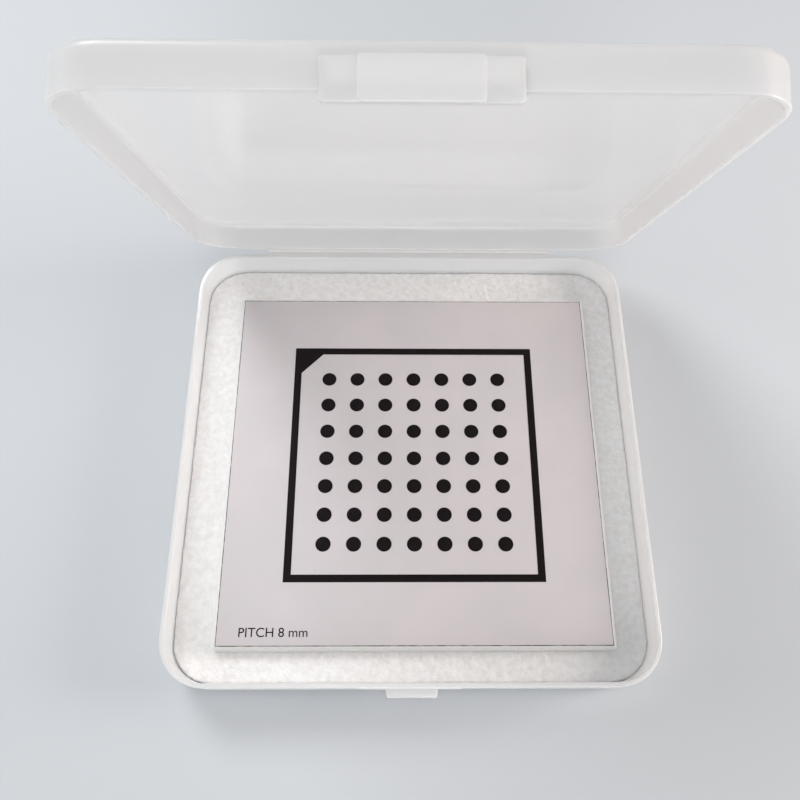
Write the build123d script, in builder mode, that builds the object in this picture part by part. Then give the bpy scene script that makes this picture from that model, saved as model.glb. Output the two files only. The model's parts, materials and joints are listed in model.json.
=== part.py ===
from build123d import *
from math import atan, cos, degrees, radians, sin
import os

# Vision calibration plate in a flip-lid storage case.
# Frame: origin at the centre of the case's footprint on the bench, +Z up, +Y to the hinge,
# -Y to the latch. Millimetres. The lid is modelled standing open at its rest angle.

# Driving dimensions
case_side = 124.0
corner_radius = 12.0
wall = 1.2
base_height = 13.0
lid_height = 8.6
edge_round = 2.0
lid_inner_round = 2.4
rim_round = 0.25
base_draft = 0.9
lid_draft = 0.3
rim_clearance = 0.1
lid_open_angle = 66.8

web_width = 84.0
web_reach = 1.5
leaf_thickness = 0.8
film_thickness = 0.3

flap_width = 32.0
flap_top = 5.2
flap_drop = 2.2
flap_thickness = 0.9
flap_clearance = 0.3
flap_corner = 0.8
flap_round = 0.3
thumb_width = 20.0
thumb_top = 5.4
thumb_proud = 0.4

tab_width = 13.0
tab_reach = 2.0
tab_thickness = 1.6
tab_taper = 0.5
tab_gap = 0.3
catch_width = 24.0
catch_proud = 0.2

foam_side = 119.4
foam_radius = 10.2
foam_thickness = 4.8
foam_seat = 0.02

plate_face = 100.0
plate_chamfer = 0.9
plate_thickness = 3.0
plate_offset = (0.9, -1.7)

dot_pitch = 8.0
dot_diameter = 4.0
dots_per_side = 7
border_outer = 68.0
border_inner = 64.0
corner_leg = 6.0
ink_thickness = 0.05

# Heights and planes that follow from them
hinge_y = case_side / 2 + web_reach
rim_height = base_height - rim_clearance / 2
foam_top = wall + foam_thickness
plate_top = foam_top + plate_thickness
half_side = case_side / 2
lid_normal = (0, sin(radians(lid_open_angle)), cos(radians(lid_open_angle)))
lid_plane = Plane(origin=(0, hinge_y, base_height), x_dir=(1, 0, 0), z_dir=lid_normal)
lid_axis = Axis(lid_plane.origin, lid_normal)
lid_center_y = -hinge_y
lid_front_y = lid_center_y - half_side
flap_plane = Plane(
    origin=lid_plane.from_local_coords((0, lid_front_y - flap_clearance, 0)),
    x_dir=(1, 0, 0),
    z_dir=-lid_plane.y_dir,
)
front_axis = Axis(flap_plane.origin, flap_plane.z_dir)
base_taper = degrees(atan(base_draft / base_height))
lid_taper = degrees(atan(lid_draft / lid_height))

os.makedirs("parts", exist_ok=True)


def save(piece, name):
    piece.part.label = name
    export_step(piece.part, f"parts/{name}.step")


# Lower half of the case: a thin drafted tray with a rounded bottom edge.
with BuildPart() as case_base:
    with BuildSketch(Plane.XY.offset(rim_height)):
        RectangleRounded(case_side, case_side, corner_radius)
    extrude(amount=-rim_height, taper=base_taper)
    fillet(case_base.faces().sort_by(Axis.Z)[0].edges(), edge_round)
    with BuildSketch(Plane.XY.offset(rim_height)):
        RectangleRounded(case_side - 2 * wall, case_side - 2 * wall, corner_radius - wall)
    extrude(amount=wall - rim_height, taper=base_taper, mode=Mode.SUBTRACT)
    rim_face = case_base.faces().sort_by(Axis.Z)[-1]
    fillet(rim_face.edges(), rim_round)

    # Hinge leaf behind the back wall, flush with the rim.
    with BuildSketch(Plane.XY.offset(rim_height)):
        with Locations((0, half_side - wall / 2)):
            Rectangle(web_width, web_reach + wall / 2 - film_thickness, align=(Align.CENTER, Align.MIN))
    extrude(amount=-leaf_thickness)

    # Finger tab under the latch, narrower at its tip.
    tab_top = rim_height - flap_drop - tab_gap
    with BuildSketch(Plane.XY.offset(tab_top)):
        with BuildLine():
            Polyline(
                (-tab_width / 2, wall / 2 - half_side),
                (-tab_width / 2, -half_side),
                (-tab_width / 2 + tab_taper, -half_side - tab_reach),
                (tab_width / 2 - tab_taper, -half_side - tab_reach),
                (tab_width / 2, -half_side),
                (tab_width / 2, wall / 2 - half_side),
                close=True,
            )
        make_face()
    extrude(amount=-tab_thickness)

    # Catch ridge that the latch flap rides over, half round along the front wall.
    with BuildSketch(Plane.YZ.offset(-catch_width / 2)):
        with Locations((-half_side + catch_proud, rim_height - flap_drop / 2)):
            Circle(2 * catch_proud)
    extrude(amount=catch_width)
save(case_base, "case_base")


# Upper half of the case: a shallower drafted shell with the latch flap on its front wall.
with BuildPart() as case_lid:
    with BuildSketch(lid_plane.offset(rim_clearance / 2)):
        with Locations((0, lid_center_y)):
            RectangleRounded(case_side, case_side, corner_radius)
    extrude(amount=lid_height, taper=lid_taper)
    fillet(case_lid.faces().sort_by(lid_axis)[-1].edges(), edge_round)
    with BuildSketch(lid_plane.offset(rim_clearance / 2)):
        with Locations((0, lid_center_y)):
            RectangleRounded(case_side - 2 * wall, case_side - 2 * wall, corner_radius - wall)
    extrude(amount=lid_height - wall, taper=lid_taper, mode=Mode.SUBTRACT)
    fillet(case_lid.faces().sort_by(lid_axis)[0].edges(), rim_round)
    panel_inside = case_lid.faces().filter_by(lid_axis).sort_by(lid_axis)[-2]
    fillet(panel_inside.edges(), lid_inner_round)

    # Hinge leaf, the mirror image of the one on the base when the lid is shut.
    with BuildSketch(lid_plane.offset(rim_clearance / 2)):
        with Locations((0, -web_reach - wall / 2)):
            Rectangle(web_width, web_reach + wall / 2 - film_thickness, align=(Align.CENTER, Align.MIN))
    extrude(amount=leaf_thickness)

    # Latch flap: a skirt that hangs past the rim, in front of the base's front wall.
    with BuildSketch(flap_plane):
        with Locations((0, (flap_top - flap_drop) / 2)):
            RectangleRounded(flap_width, flap_top + flap_drop, flap_corner)
    extrude(amount=flap_thickness)
    fillet(case_lid.faces().sort_by(front_axis)[-1].edges(), flap_round)
    with BuildSketch(lid_plane.offset(rim_clearance / 2 + rim_round)):
        with Locations((0, lid_front_y - flap_clearance)):
            Rectangle(flap_width - 2 * flap_corner, flap_clearance + wall / 2, align=(Align.CENTER, Align.MIN))
    extrude(amount=flap_top - flap_corner)

    # Thumb pad, the thicker middle of the flap.
    with BuildSketch(flap_plane):
        with Locations((0, (thumb_top - flap_drop) / 2)):
            RectangleRounded(thumb_width, thumb_top + flap_drop, flap_corner)
    extrude(amount=flap_thickness + thumb_proud)
    fillet(case_lid.faces().sort_by(front_axis)[-1].edges(), flap_round)
save(case_lid, "case_lid")


# Thin flexible film on the hinge line, between the two leaves.
with BuildPart() as hinge_film:
    with BuildSketch(Plane.YZ.offset(-web_width / 2)):
        with Locations((hinge_y, base_height)):
            Circle(film_thickness / 2)
    extrude(amount=web_width)
save(hinge_film, "hinge_film")


# Soft pad that fills the bottom of the tray.
with BuildPart() as foam_pad:
    with BuildSketch(Plane.XY.offset(wall)):
        RectangleRounded(foam_side, foam_side, foam_radius)
    extrude(amount=foam_thickness - foam_seat)
save(foam_pad, "foam_pad")


# Calibration plate with a chamfered top edge, lying a little off centre on the pad.
plate_plane = Plane(origin=(*plate_offset, foam_top))
with BuildPart() as target_plate:
    with BuildSketch(plate_plane):
        RectangleRounded(plate_face + 2 * plate_chamfer, plate_face + 2 * plate_chamfer, plate_chamfer)
    extrude(amount=plate_thickness)
    chamfer(target_plate.faces().sort_by(Axis.Z)[-1].edges(), plate_chamfer)
save(target_plate, "target_plate")


# Printed marks on the face of the plate: border, orientation corner and dot grid.
ink_plane = Plane(origin=(*plate_offset, plate_top))
with BuildPart() as border_frame:
    with BuildSketch(ink_plane):
        Rectangle(border_outer, border_outer)
        Rectangle(border_inner, border_inner, mode=Mode.SUBTRACT)
    extrude(amount=ink_thickness)
save(border_frame, "border_frame")

with BuildPart() as corner_mark:
    inner = border_inner / 2
    with BuildSketch(ink_plane):
        with BuildLine():
            Polyline((-inner, inner), (corner_leg - inner, inner), (-inner, inner - corner_leg), close=True)
        make_face()
    extrude(amount=ink_thickness)
save(corner_mark, "corner_mark")

with BuildPart() as dot_grid:
    with BuildSketch(ink_plane):
        with GridLocations(dot_pitch, dot_pitch, dots_per_side, dots_per_side):
            Circle(dot_diameter / 2)
    extrude(amount=ink_thickness)
save(dot_grid, "dot_grid")
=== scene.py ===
import bpy
import json
from math import copysign, cos, pi, radians, sin
from mathutils import Matrix, Vector


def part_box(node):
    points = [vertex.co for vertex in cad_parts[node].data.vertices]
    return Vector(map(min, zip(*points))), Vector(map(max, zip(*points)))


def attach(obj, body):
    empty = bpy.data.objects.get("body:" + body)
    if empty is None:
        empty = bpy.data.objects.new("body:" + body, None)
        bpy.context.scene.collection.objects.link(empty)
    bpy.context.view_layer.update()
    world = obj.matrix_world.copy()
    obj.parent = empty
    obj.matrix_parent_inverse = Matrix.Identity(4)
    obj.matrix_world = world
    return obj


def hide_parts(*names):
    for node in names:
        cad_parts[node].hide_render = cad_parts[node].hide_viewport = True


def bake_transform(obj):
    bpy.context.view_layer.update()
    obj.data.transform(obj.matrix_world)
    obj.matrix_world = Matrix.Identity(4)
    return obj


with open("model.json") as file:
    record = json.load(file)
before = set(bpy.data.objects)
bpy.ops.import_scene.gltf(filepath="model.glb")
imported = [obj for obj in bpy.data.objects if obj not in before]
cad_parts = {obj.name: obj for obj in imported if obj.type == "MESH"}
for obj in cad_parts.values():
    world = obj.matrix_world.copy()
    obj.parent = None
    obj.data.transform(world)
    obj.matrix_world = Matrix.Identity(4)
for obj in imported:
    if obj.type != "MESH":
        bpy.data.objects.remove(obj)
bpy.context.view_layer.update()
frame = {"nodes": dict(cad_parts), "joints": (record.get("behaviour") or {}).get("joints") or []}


# ---- The bench top ---------------------------------------------------------------------------
# A plain pale table that the case stands on, finely matt so that it shows no sharp
# reflections. It isn't part of the object.
def new_material(name):
    material = bpy.data.materials.new(name)
    material.use_nodes = True
    return material, material.node_tree, material.node_tree.nodes["Principled BSDF"]


def link(tree, from_node, output, to_node, entry):
    tree.links.new(from_node.outputs[output], to_node.inputs[entry])


def add_node(tree, kind, **settings):
    node = tree.nodes.new(kind)
    for name, value in settings.items():
        if hasattr(node, name):
            setattr(node, name, value)
        else:
            node.inputs[name.replace("_", " ")].default_value = value
    return node


table_size = 3.0
bpy.ops.object.select_all(action="DESELECT")
bpy.ops.mesh.primitive_plane_add(size=table_size, location=(0, 0, 0))
table = bpy.context.object
table.name = "table"
pale, tree, shader = new_material("pale_table")
shader.inputs["Base Color"].default_value = (0.62, 0.65, 0.68, 1)
shader.inputs["Roughness"].default_value = 0.6
table.data.materials.append(pale)


# ---- Camera and light ------------------------------------------------------------------------
# A camera held above the front edge, looking down into the open case. Soft light comes from a
# window behind on the left, two in front, the low one brighter, a pale wall on the left, a warm
# lamp on the right and the ceiling. The pale room fills the rest.
mm = 0.001
lights_aim = Vector((0, 0, 30 * mm))
camera_data = bpy.data.cameras.new("camera")
camera_data.lens = 38.3
camera_data.shift_x = -0.0147
camera_data.shift_y = -0.0031
camera = bpy.data.objects.new("camera", camera_data)
bpy.context.scene.collection.objects.link(camera)
camera.location = (-3.71 * mm, -83.83 * mm, 228.17 * mm)
camera.rotation_euler = (radians(24.633), radians(-0.939), radians(-0.287))
bpy.context.scene.camera = camera


def soft_light(name, location, size, power, color):
    data = bpy.data.lights.new(name, "AREA")
    data.shape = "DISK"
    data.size = size
    data.energy = power
    data.color = color
    light = bpy.data.objects.new(name, data)
    bpy.context.scene.collection.objects.link(light)
    light.location = location
    beam = lights_aim - Vector(location)
    light.rotation_euler = beam.to_track_quat("-Z", "Y").to_euler()


soft_light("window_back_left", (-0.40, 0.50, 0.60), 0.4, 3.2, (0.99, 0.995, 1.0))
soft_light("window_front", (0.0, -0.90, 0.45), 0.5, 0.7, (1.0, 0.99, 0.99))
soft_light("window_front_low", (0.0, -0.90, 0.20), 0.5, 3.3, (1.0, 0.99, 0.99))
soft_light("wall_left", (-0.62, 0.02, 0.22), 0.35, 0.7, (0.98, 0.99, 1.0))
soft_light("lamp_right", (0.62, 0.0, 0.22), 0.3, 2.7, (1.0, 0.90, 0.84))
soft_light("ceiling", (0.0, -0.15, 0.95), 0.5, 0.9, (1.0, 1.0, 1.0))

world = bpy.data.worlds.new("room")
bpy.context.scene.world = world
world.use_nodes = True
world.node_tree.nodes["Background"].inputs["Color"].default_value = (0.99, 0.99, 1.0, 1)
world.node_tree.nodes["Background"].inputs["Strength"].default_value = 0.33
bpy.context.scene.view_settings.view_transform = "Standard"


# ---- Case base and lid -----------------------------------------------------------------------
# One moulding in natural polypropylene, milky and translucent, polished inside and finely
# textured outside. The two halves keep their designed shape and take the plastic's finish.
hinge = next(joint for joint in frame["joints"] if joint["name"] == "lid_hinge")
pivot = Vector(hinge["pos_m"])
lid_open = radians(-hinge["range_deg"][0])
lid_normal = Vector((0, sin(lid_open), cos(lid_open)))
hinge_painted_light_start, hinge_painted_light_end = 1.3 * mm, 2.2 * mm


def polypropylene(name, inside_normal):
    material, tree, shader = new_material(name)
    shader.inputs["IOR"].default_value = 1.49
    shader.inputs["Transmission Weight"].default_value = 0.2
    shader.inputs["Subsurface Radius"].default_value = (1.0, 0.97, 0.94)
    shader.inputs["Subsurface Scale"].default_value = 5.0 * mm
    place = add_node(tree, "ShaderNodeTexCoord")

    # Milkiness drifts a little where the melt flowed.
    flow = add_node(tree, "ShaderNodeTexNoise", Scale=18.0, Detail=3.0)
    link(tree, place, "Object", flow, "Vector")
    tone = add_node(tree, "ShaderNodeValToRGB")
    tone.color_ramp.elements[0].color = (0.90, 0.90, 0.90, 1)
    tone.color_ramp.elements[1].color = (0.94, 0.935, 0.93, 1)
    link(tree, flow, "Fac", tone, "Fac")
    link(tree, tone, "Color", shader, "Base Color")

    # Less light sinks into the plastic beside the hinge line, so it comes out brighter there.
    # This
    # is painted light: it lifts the shade that the open lid casts over the hinge.
    section = add_node(tree, "ShaderNodeVectorMath", operation="MULTIPLY")
    section.inputs[1].default_value = (0, 1, 1)
    link(tree, place, "Object", section, 0)
    from_pivot = add_node(tree, "ShaderNodeVectorMath", operation="DISTANCE")
    from_pivot.inputs[1].default_value = pivot
    link(tree, section, "Vector", from_pivot, 0)
    hinge_painted_light = add_node(tree, "ShaderNodeMapRange", clamp=True)
    hinge_painted_light.inputs["From Min"].default_value = hinge_painted_light_start
    hinge_painted_light.inputs["From Max"].default_value = hinge_painted_light_end
    hinge_painted_light.inputs["To Min"].default_value = 0.1
    hinge_painted_light.inputs["To Max"].default_value = 1.0
    link(tree, from_pivot, "Value", hinge_painted_light, "Value")
    link(tree, hinge_painted_light, "Result", shader, "Subsurface Weight")

    # Faces that look into the case are polished, the others are finely textured.
    facing = add_node(tree, "ShaderNodeVectorMath", operation="DOT_PRODUCT")
    facing.inputs[1].default_value = inside_normal
    link(tree, place, "Normal", facing, 0)
    polish = add_node(tree, "ShaderNodeMapRange", clamp=True)
    polish.inputs["From Min"].default_value = 0.6
    polish.inputs["From Max"].default_value = 0.9
    polish.inputs["To Min"].default_value = 0.32
    polish.inputs["To Max"].default_value = 0.06
    link(tree, facing, "Value", polish, "Value")
    link(tree, polish, "Result", shader, "Roughness")

    grain = add_node(tree, "ShaderNodeTexNoise", Scale=2400.0, Detail=2.0)
    link(tree, place, "Object", grain, "Vector")
    relief = add_node(tree, "ShaderNodeBump", Strength=0.15, Distance=0.00003)
    link(tree, grain, "Fac", relief, "Height")
    link(tree, relief, "Normal", shader, "Normal")
    return material


for node_name, inside in (("case_base", Vector((0, 0, 1))), ("case_lid", -lid_normal)):
    moulding = frame["nodes"][node_name]
    moulding.data.materials.clear()
    moulding.data.materials.append(polypropylene(node_name + "_plastic", inside))


# ---- Living hinge ----------------------------------------------------------------------------
# The flexible film that joins the two leaves. It is moulded with them and rolls round the pivot
# line as the lid turns. Here it is swept once round the pivot line, from the base's leaf to the
# lid's leaf as it stands open, and keeps that shape.
leaf_edge = 0.3 * mm
film_low, film_high = 0.2 * mm, 0.55 * mm
film_steps = 16
# The sweep runs from the base's leaf over the pivot line, on the side that faces into the case.
# It ends in a slant across the end of the lid's leaf, at one edge 0.24 mm short of it.
film_extra_turn = radians(67.38)
web_low, web_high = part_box("hinge_film")
bpy.ops.object.select_all(action="DESELECT")
bpy.ops.mesh.primitive_plane_add(size=1, location=(0, 0, 0))
web = bpy.context.object
web.name = "hinge_web"
for vertex in web.data.vertices:
    across = web_low.x if vertex.co.x < 0 else web_high.x
    deep = film_low if vertex.co.y < 0 else film_high
    vertex.co = (across, pivot.y - leaf_edge, pivot.z - deep)
bpy.ops.object.mode_set(mode="EDIT")
bpy.ops.mesh.select_all(action="SELECT")
film_turn = pi - lid_open + film_extra_turn
bpy.ops.mesh.spin(steps=film_steps, angle=film_turn, center=pivot, axis=(1, 0, 0), dupli=False)
bpy.ops.mesh.select_all(action="SELECT")
bpy.ops.mesh.normals_make_consistent(inside=False)
bpy.ops.object.mode_set(mode="OBJECT")
bpy.ops.object.shade_smooth_by_angle(angle=radians(40))
web.data.materials.append(polypropylene("hinge_web_plastic", Vector((0, 1, 0))))
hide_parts("hinge_film")
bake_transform(web)


# ---- Foam pad --------------------------------------------------------------------------------
# A die-cut sheet of white closed-cell foam that fills the bottom of the tray. Its skin shows
# the cells, its cut edge is crimped by the wall, and the plate's weight presses it flat.
foam_low, foam_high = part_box("foam_pad")
plate_low, plate_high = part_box("target_plate")
foam_corner = 10.2 * mm
foam_shoulder = 0.45 * mm
foam_voxel = 0.85 * mm
foam_squeeze = 0.5 * mm
crimp_width = 3.5 * mm
pressed_gap = 0.04 * mm
pressed_margin = 0.3 * mm
same_place = 1e-6

# The tray's inner wall: a square of this half side, with a radius round it that grows upwards.
tray_core = 50.0 * mm
tray_floor_radius = 9.93 * mm
tray_lean = 0.33 * mm


def start_piece(name, low, high):
    """A cube from low to high, its place in its mesh, selected alone."""
    bpy.ops.object.select_all(action="DESELECT")
    bpy.ops.mesh.primitive_cube_add(size=1, location=(low + high) / 2, scale=high - low)
    bpy.ops.object.transform_apply(location=True, rotation=True, scale=True)
    piece = bpy.context.object
    piece.name = name
    return piece


def pick_edges(piece, wanted):
    """Edit mode, with only the edges selected whose two ends wanted accepts."""
    bpy.ops.object.mode_set(mode="EDIT")
    bpy.ops.mesh.select_mode(type="EDGE")
    bpy.ops.mesh.select_all(action="DESELECT")
    bpy.ops.object.mode_set(mode="OBJECT")
    points = [vertex.co for vertex in piece.data.vertices]
    for edge in piece.data.edges:
        edge.select = wanted(points[edge.vertices[0]], points[edge.vertices[1]])
    bpy.ops.object.mode_set(mode="EDIT")


def pick_faces(piece, wanted):
    """Edit mode, with only the faces selected that wanted accepts."""
    bpy.ops.object.mode_set(mode="EDIT")
    bpy.ops.mesh.select_mode(type="FACE")
    bpy.ops.mesh.select_all(action="DESELECT")
    bpy.ops.object.mode_set(mode="OBJECT")
    for face in piece.data.polygons:
        face.select = wanted(face)
    bpy.ops.object.mode_set(mode="EDIT")


def upright(start, end):
    return abs(start.x - end.x) < same_place and abs(start.y - end.y) < same_place


def emboss(piece, name, kind, grain, height, group):
    """Raises and sinks a group of points along their normals by a pattern of that grain."""
    pattern = bpy.data.textures.new(name, kind)
    pattern.noise_scale = grain
    bump = piece.modifiers.new(name, "DISPLACE")
    bump.texture = pattern
    bump.texture_coords = "LOCAL"
    bump.strength = height
    bump.mid_level = 0.5
    bump.vertex_group = group
    bpy.ops.object.modifier_apply(modifier=name)


def press_to_wall(point, radius):
    """Brings a point that is past the tray's rounded square wall back to the wall."""
    past = Vector((max(abs(point.x) - tray_core, 0.0), max(abs(point.y) - tray_core, 0.0)))
    if past.length > radius:
        past *= radius / past.length
        point.x = copysign(min(abs(point.x), tray_core) + past.x, point.x)
        point.y = copysign(min(abs(point.y), tray_core) + past.y, point.y)


squeeze = Vector((foam_squeeze, foam_squeeze, 0))
foam = start_piece("foam_cushion", foam_low - squeeze, foam_high + squeeze)
pick_edges(foam, upright)
bpy.ops.mesh.bevel(offset=foam_corner + foam_squeeze, segments=14, affect="EDGES")
pick_edges(foam, lambda start, end: min(start.z, end.z) > foam_high.z - same_place)
bpy.ops.mesh.bevel(offset=foam_shoulder, segments=3, affect="EDGES")
bpy.ops.object.mode_set(mode="OBJECT")
foam.data.remesh_voxel_size = foam_voxel
bpy.ops.object.voxel_remesh()


def under_plate(point, margin):
    inside_x = plate_low.x - margin < point.x < plate_high.x + margin
    inside_y = plate_low.y - margin < point.y < plate_high.y + margin
    return inside_x and inside_y


# The strip round the plate is in plain view, so its skin gets finer facets.
pick_faces(foam, lambda face: face.normal.z > 0.2 and not under_plate(face.center, 0))
bpy.ops.mesh.subdivide(number_cuts=1)
bpy.ops.object.mode_set(mode="OBJECT")
crimp = foam.vertex_groups.new(name="crimp")
skin = foam.vertex_groups.new(name="skin")
for vertex in foam.data.vertices:
    to_wall = foam_high.x - max(abs(vertex.co.x), abs(vertex.co.y))
    height = (vertex.co.z - foam_low.z) / (foam_high.z - foam_low.z)
    crimp.add([vertex.index], max(0.0, 1 - to_wall / crimp_width) * height, "REPLACE")
    skin.add([vertex.index], max(0.0, height), "REPLACE")
emboss(foam, "cells", "VORONOI", 1.5 * mm, -0.16 * mm, "skin")
emboss(foam, "swell", "CLOUDS", 7.0 * mm, 0.20 * mm, "skin")
emboss(foam, "crinkle", "CLOUDS", 1.2 * mm, 0.42 * mm, "skin")
emboss(foam, "folds", "CLOUDS", 1.3 * mm, 0.30 * mm, "crimp")
for vertex in foam.data.vertices:
    height = (vertex.co.z - foam_low.z) / (foam_high.z - foam_low.z)
    press_to_wall(vertex.co, tray_floor_radius + tray_lean * height)
    if under_plate(vertex.co, pressed_margin):
        vertex.co.z = min(vertex.co.z, plate_low.z - pressed_gap)
bpy.ops.object.shade_smooth()

foam_white, tree, shader = new_material("foam_white")
shader.inputs["Roughness"].default_value = 0.85
shader.inputs["Sheen Weight"].default_value = 0.25
shader.inputs["Subsurface Weight"].default_value = 0.25
shader.inputs["Subsurface Radius"].default_value = (1.0, 1.0, 1.0)
shader.inputs["Subsurface Scale"].default_value = 0.6 * mm
place = add_node(tree, "ShaderNodeTexCoord")

# Cell walls catch more light than the cells between them.
cells = add_node(tree, "ShaderNodeTexVoronoi", feature="DISTANCE_TO_EDGE", Scale=900.0)
link(tree, place, "Object", cells, "Vector")
cell_wall = add_node(tree, "ShaderNodeMapRange", clamp=True)
cell_wall.inputs["From Max"].default_value = 0.25
link(tree, cells, "Distance", cell_wall, "Value")
clouding = add_node(tree, "ShaderNodeTexNoise", Scale=620.0, Detail=5.0)
link(tree, place, "Object", clouding, "Vector")
whites = add_node(tree, "ShaderNodeValToRGB")
whites.color_ramp.elements[0].position = 0.35
whites.color_ramp.elements[0].color = (0.89, 0.88, 0.87, 1)
whites.color_ramp.elements[1].position = 0.65
whites.color_ramp.elements[1].color = (0.985, 0.982, 0.98, 1)
link(tree, clouding, "Fac", whites, "Fac")
link(tree, whites, "Color", shader, "Base Color")
pore = add_node(tree, "ShaderNodeBump", Strength=0.5, Distance=0.00012)
link(tree, cell_wall, "Result", pore, "Height")
fuzz = add_node(tree, "ShaderNodeBump", Strength=0.8, Distance=0.00016)
link(tree, clouding, "Fac", fuzz, "Height")
link(tree, pore, "Normal", fuzz, "Normal")
link(tree, fuzz, "Normal", shader, "Normal")
foam.data.materials.append(foam_white)
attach(foam, "base")
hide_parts("foam_pad")


# ---- Calibration plate -----------------------------------------------------------------------
# A flat white ceramic plate, ground to size with a chamfer round its face. The face carries a
# matt coat that stops just short of the chamfer. The fine groove left round it is coloured dark
# as painted shade.
coat_gap = 0.22 * mm
coat_depth = 0.10 * mm
plate_chamfer = 0.9 * mm
foot_chamfer = 0.3 * mm
ground_round = 0.08 * mm
smooth_angle = radians(35)
ceramic_index, coat_index, painted_shade_index = 0, 1, 2


def soften(piece, width, angle):
    """Rounds every edge sharper than angle, in degrees, and smooths the faces."""
    rounding = piece.modifiers.new("soften", "BEVEL")
    rounding.width = width
    rounding.segments = 2
    rounding.limit_method = "ANGLE"
    rounding.angle_limit = radians(angle)
    bpy.ops.object.modifier_apply(modifier="soften")
    bpy.ops.object.shade_smooth_by_angle(angle=smooth_angle)


body_high = plate_high - Vector((0, 0, coat_depth))
plate = start_piece("plate_body", plate_low, body_high)
pick_edges(plate, upright)
bpy.ops.mesh.bevel(offset=plate_chamfer, segments=4, affect="EDGES")
pick_edges(plate, lambda start, end: min(start.z, end.z) > body_high.z - same_place)
bpy.ops.mesh.bevel(offset=plate_chamfer, segments=1, affect="EDGES")
pick_edges(plate, lambda start, end: max(start.z, end.z) < plate_low.z + same_place)
bpy.ops.mesh.bevel(offset=foot_chamfer, segments=2, affect="EDGES")
bpy.ops.object.mode_set(mode="OBJECT")
soften(plate, ground_round, 30)
# The flat top of the body takes the painted shade of the groove. The coat covers all of it but
# the edge strip.
for face in plate.data.polygons:
    face.material_index = painted_shade_index if face.normal.z > 0.99 else ceramic_index

# The coat lies on the ground face, inside its edge. The strip of face left bare is the groove,
# which is coloured dark as painted shade.
coat_edge = Vector((plate_chamfer + coat_gap, plate_chamfer + coat_gap, 0))
coat_low = Vector((plate_low.x, plate_low.y, body_high.z)) + coat_edge
coat = start_piece("plate_coat", coat_low, plate_high - coat_edge)
soften(coat, coat_depth / 4, 60)
for face in coat.data.polygons:
    face.material_index = coat_index

ceramic, tree, shader = new_material("ground_ceramic")
shader.inputs["Roughness"].default_value = 0.5
shader.inputs["Subsurface Weight"].default_value = 0.3
shader.inputs["Subsurface Scale"].default_value = 0.8 * mm
place = add_node(tree, "ShaderNodeTexCoord")
grind = add_node(tree, "ShaderNodeTexNoise", Scale=1500.0, Detail=3.0)
link(tree, place, "Object", grind, "Vector")
body_tone = add_node(tree, "ShaderNodeValToRGB")
body_tone.color_ramp.elements[0].color = (0.80, 0.79, 0.78, 1)
body_tone.color_ramp.elements[1].color = (0.93, 0.93, 0.92, 1)
link(tree, grind, "Fac", body_tone, "Fac")
link(tree, body_tone, "Color", shader, "Base Color")
ground = add_node(tree, "ShaderNodeBump", Strength=0.3, Distance=0.00003)
link(tree, grind, "Fac", ground, "Height")
link(tree, ground, "Normal", shader, "Normal")

matt_coat, tree, shader = new_material("matt_coat")
shader.inputs["Specular IOR Level"].default_value = 0.3
place = add_node(tree, "ShaderNodeTexCoord")
drift = add_node(tree, "ShaderNodeTexNoise", Scale=70.0, Detail=2.0)
link(tree, place, "Object", drift, "Vector")
coat_tone = add_node(tree, "ShaderNodeValToRGB")
coat_tone.color_ramp.elements[0].position = 0.3
coat_tone.color_ramp.elements[0].color = (0.685, 0.652, 0.664, 1)
coat_tone.color_ramp.elements[1].position = 0.7
coat_tone.color_ramp.elements[1].color = (0.730, 0.677, 0.694, 1)
link(tree, drift, "Fac", coat_tone, "Fac")
speckle = add_node(tree, "ShaderNodeTexNoise", Scale=5200.0, Detail=2.0)
link(tree, place, "Object", speckle, "Vector")
speckled = add_node(tree, "ShaderNodeMix", data_type="RGBA", blend_type="MULTIPLY")
speckled.inputs["Factor"].default_value = 0.08
link(tree, coat_tone, "Color", speckled, 6)
link(tree, speckle, "Color", speckled, 7)
tree.links.new(speckled.outputs[2], shader.inputs["Base Color"])
dull = add_node(tree, "ShaderNodeMapRange", clamp=True)
dull.inputs["To Min"].default_value = 0.46
dull.inputs["To Max"].default_value = 0.6
link(tree, speckle, "Fac", dull, "Value")
link(tree, dull, "Result", shader, "Roughness")
tooth = add_node(tree, "ShaderNodeBump", Strength=0.12, Distance=0.00002)
link(tree, speckle, "Fac", tooth, "Height")
link(tree, tooth, "Normal", shader, "Normal")

# Painted shade: the bare strip between the coat and the chamfer is coloured near black, broken
# up by noise, for the shade that falls in the groove.
painted_shade_groove, tree, shader = new_material("groove_painted_shade")
shader.inputs["Roughness"].default_value = 0.8
place = add_node(tree, "ShaderNodeTexCoord")
broken = add_node(tree, "ShaderNodeTexNoise", Scale=420.0, Detail=3.0)
link(tree, place, "Object", broken, "Vector")
painted_shade_ramp = add_node(tree, "ShaderNodeValToRGB")
painted_shade_ramp.color_ramp.elements[0].position = 0.42
painted_shade_ramp.color_ramp.elements[0].color = (0.05, 0.045, 0.045, 1)
painted_shade_ramp.color_ramp.elements[1].position = 0.62
painted_shade_ramp.color_ramp.elements[1].color = (0.34, 0.32, 0.32, 1)
link(tree, broken, "Fac", painted_shade_ramp, "Fac")
link(tree, painted_shade_ramp, "Color", shader, "Base Color")
for part in (plate, coat):
    for finish in (ceramic, matt_coat, painted_shade_groove):
        part.data.materials.append(finish)
bpy.ops.object.select_all(action="DESELECT")
coat.select_set(True)
plate.select_set(True)
bpy.context.view_layer.objects.active = plate
bpy.ops.object.join()
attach(plate, "plate")
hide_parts("target_plate")


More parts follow.
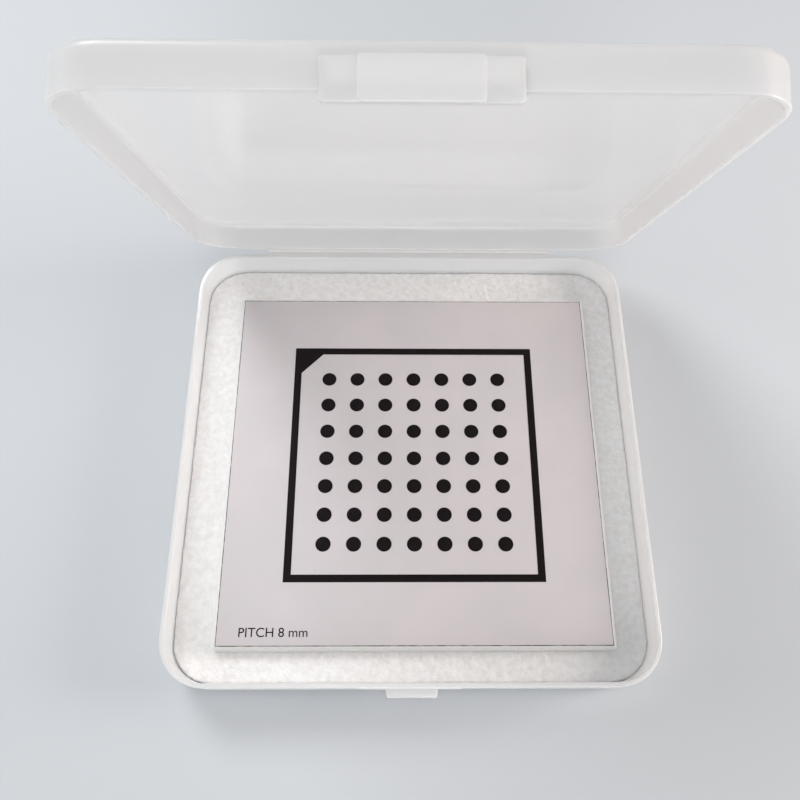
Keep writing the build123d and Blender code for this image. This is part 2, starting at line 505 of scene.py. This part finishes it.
# ---- Printed marks ---------------------------------------------------------------------------
# Black ink screened on the coat: a square border with one filled corner, a grid of round dots
# and a small caption. Each mark is a thin film of ink whose edge has drawn in a little.
ink_lift = 0.03 * mm
ink_edge = 0.01 * mm
dot_low, dot_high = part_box("dot_grid")
border_low, border_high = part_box("border_frame")
corner_low, corner_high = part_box("corner_mark")
dots_per_side = 7
dot_pitch = 8.0 * mm
dot_radius = (dot_high.x - dot_low.x - (dots_per_side - 1) * dot_pitch) / 2
ink_floor = plate_high.z

ink, tree, shader = new_material("screen_ink")
shader.inputs["Specular IOR Level"].default_value = 0.08
place = add_node(tree, "ShaderNodeTexCoord")
mesh_marks = add_node(tree, "ShaderNodeTexNoise", Scale=2600.0, Detail=4.0)
link(tree, place, "Object", mesh_marks, "Vector")
ink_tone = add_node(tree, "ShaderNodeValToRGB")
ink_tone.color_ramp.elements[0].position = 0.3
ink_tone.color_ramp.elements[0].color = (0.0075, 0.0050, 0.0055, 1)
ink_tone.color_ramp.elements[1].position = 0.75
ink_tone.color_ramp.elements[1].color = (0.0140, 0.0095, 0.0105, 1)
link(tree, mesh_marks, "Fac", ink_tone, "Fac")
link(tree, ink_tone, "Color", shader, "Base Color")
ink_gloss = add_node(tree, "ShaderNodeMapRange", clamp=True)
ink_gloss.inputs["To Min"].default_value = 0.42
ink_gloss.inputs["To Max"].default_value = 0.62
link(tree, mesh_marks, "Fac", ink_gloss, "Value")
link(tree, ink_gloss, "Result", shader, "Roughness")
ink_relief = add_node(tree, "ShaderNodeBump", Strength=0.15, Distance=0.00002)
link(tree, mesh_marks, "Fac", ink_relief, "Height")
link(tree, ink_relief, "Normal", shader, "Normal")


def print_mark(mark, node_name):
    """Softens a finished mark's edge, inks it and lets it ride on the plate."""
    bpy.ops.object.select_all(action="DESELECT")
    mark.select_set(True)
    bpy.context.view_layer.objects.active = mark
    soften(mark, ink_edge, 50)
    mark.data.materials.append(ink)
    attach(mark, "plate")
    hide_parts(node_name)


border_top = border_high.copy()
border_top.z = ink_floor + ink_lift
border = start_piece("border_print", Vector((border_low.x, border_low.y, ink_floor)), border_top)
pick_faces(border, lambda face: abs(face.normal.z) > 0.9)
bpy.ops.mesh.inset(thickness=corner_low.x - border_low.x, use_even_offset=True)
bpy.ops.mesh.bridge_edge_loops()
bpy.ops.object.mode_set(mode="OBJECT")

# The filled corner is a wedge of the same ink: a square cut along its diagonal.
wedge_low = Vector((corner_low.x, corner_low.y, ink_floor))
wedge_high = Vector((corner_high.x, corner_high.y, ink_floor + ink_lift))
wedge = start_piece("corner_wedge", wedge_low, wedge_high)
bpy.ops.object.mode_set(mode="EDIT")
bpy.ops.mesh.select_all(action="SELECT")
bpy.ops.mesh.bisect(plane_co=wedge_low, plane_no=(1, -1, 0), use_fill=True, clear_outer=True)
bpy.ops.object.mode_set(mode="OBJECT")

# One dot, then a row of them, then the rows.
bpy.ops.object.select_all(action="DESELECT")
bpy.ops.mesh.primitive_cylinder_add(
    vertices=56,
    radius=dot_radius,
    depth=ink_lift,
    location=(dot_low.x + dot_radius, dot_low.y + dot_radius, ink_floor + ink_lift / 2),
)
bpy.ops.object.transform_apply(location=True, rotation=True, scale=True)
dots = bpy.context.object
dots.name = "dot_print"
for name, step in (("row", (dot_pitch, 0, 0)), ("rows", (0, dot_pitch, 0))):
    repeat = dots.modifiers.new(name, "ARRAY")
    repeat.count = dots_per_side
    repeat.use_relative_offset = False
    repeat.use_constant_offset = True
    repeat.constant_offset_displace = step
    bpy.ops.object.modifier_apply(modifier=name)

# The caption gives the grid's pitch, in plain letters near the front left corner. It is typed
# at full size and then brought down to its length and to the depth of the ink.
caption_length = 17.3 * mm
caption_corner = Vector((-44.3, -47.7, 0)) * mm
typed_depth = 0.01
bpy.ops.object.select_all(action="DESELECT")
bpy.ops.object.text_add(location=(0, 0, 0))
bpy.context.object.data.body = "PITCH 8 mm"
bpy.context.object.data.extrude = typed_depth
bpy.ops.object.convert(target="MESH")
caption = bpy.context.object
caption.name = "caption_print"
letters = [vertex.co.copy() for vertex in caption.data.vertices]
text_low = Vector([min(point[axis] for point in letters) for axis in range(3)])
text_high = Vector([max(point[axis] for point in letters) for axis in range(3)])
plate_middle = (plate_low + plate_high) / 2
scale = caption_length / (text_high.x - text_low.x)
caption_place = Vector((plate_middle.x, plate_middle.y, ink_floor)) + caption_corner
caption.data.transform(Matrix.Translation(-text_low))
caption.data.transform(Matrix.Diagonal((scale, scale, ink_lift / (text_high.z - text_low.z), 1)))
caption.data.transform(Matrix.Translation(caption_place))
caption.data.materials.append(ink)
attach(caption, "plate")

print_mark(border, "border_frame")
print_mark(wedge, "corner_mark")
print_mark(dots, "dot_grid")
